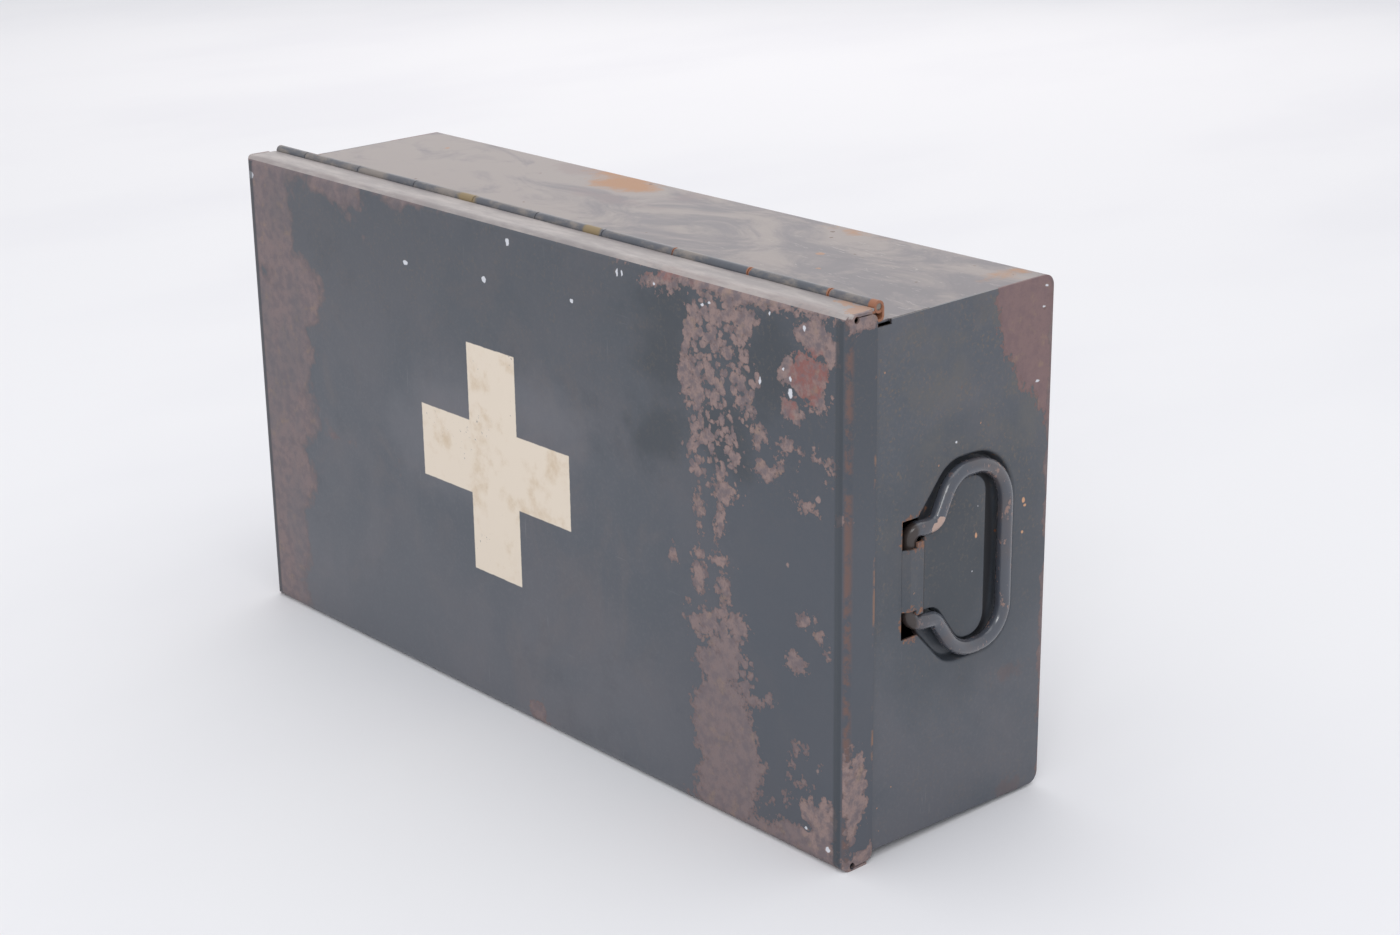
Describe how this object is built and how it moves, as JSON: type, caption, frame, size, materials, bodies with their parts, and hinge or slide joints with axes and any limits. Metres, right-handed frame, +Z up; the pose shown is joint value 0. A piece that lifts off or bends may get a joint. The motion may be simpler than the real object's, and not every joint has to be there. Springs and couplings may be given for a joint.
{
  "type": "first aid box",
  "caption": "Painted sheet-steel first aid box with a full-width top-hinged tray lid, drop handles in pressed dishes at both ends and bolt catches underneath.",
  "frame": {"origin": "centre of the footprint, on the surface that the box stands on", "axes": "+X along the box to its right end, +Y from the lid's front face to the back wall, +Z up to the hinge"},
  "size_m": [0.4182, 0.1182, 0.2325],
  "materials": {
    "lid_paint": "dark blue-grey enamel, worn and rust-stained",
    "case_paint": "dark blue-grey enamel, smeared and scuffed",
    "end_paint": "dark blue-grey enamel with rust freckles",
    "hinge_paint": "grey enamel, rubbed through at the knuckles",
    "handle_paint": "dark enamel over round wire, glossy and chipped",
    "fitting_paint": "grey enamel over thin sheet",
    "inner_paint": "grey enamel, brown at the edges",
    "worn_steel": "bare steel, dulled",
    "bright_wire": "steel wire, dulled"
  },
  "bodies": {
    "case": {"case_wrap": "case_paint", "right_end_panel": "end_paint", "left_end_panel": "end_paint", "case_hinge_leaf": "hinge_paint", "hinge_pin": "bright_wire", "right_handle_clip": "inner_paint", "left_handle_clip": "inner_paint", "right_catch_plate": "fitting_paint", "left_catch_plate": "fitting_paint", "right_catch_guides": "fitting_paint", "left_catch_guides": "fitting_paint", "right_catch_rivets": "worn_steel", "left_catch_rivets": "worn_steel"},
    "lid": {"lid_shell": "lid_paint", "lid_hinge_leaf": "hinge_paint", "right_keeper": "fitting_paint", "left_keeper": "fitting_paint"},
    "right_drop_handle": {"right_handle": "handle_paint"},
    "left_drop_handle": {"left_handle": "handle_paint"},
    "right_bolt": {"right_catch_bolt": "worn_steel", "right_catch_knob": "worn_steel"},
    "left_bolt": {"left_catch_bolt": "worn_steel", "left_catch_knob": "worn_steel"}
  },
  "joints": [
    {"name": "lid_hinge", "type": "hinge", "parent": "case", "child": "lid", "pos_m": [0, -0.0399, 0.23], "axis": [-1, 0, 0], "range_deg": [0, 190]},
    {"name": "right_handle_swing", "type": "hinge", "parent": "case", "child": "right_drop_handle", "pos_m": [0.20309, -0.01995, 0.116], "axis": [0, 0, -1], "range_deg": [0, 105]},
    {"name": "left_handle_swing", "type": "hinge", "parent": "case", "child": "left_drop_handle", "pos_m": [-0.20309, -0.01995, 0.116], "axis": [0, 0, 1], "range_deg": [0, 105]},
    {"name": "right_bolt_slide", "type": "slide", "parent": "case", "child": "right_bolt", "axis": [1, 0, 0], "range_m": [0, 0.0084]},
    {"name": "left_bolt_slide", "type": "slide", "parent": "case", "child": "left_bolt", "axis": [-1, 0, 0], "range_m": [0, 0.0084]}
  ]
}
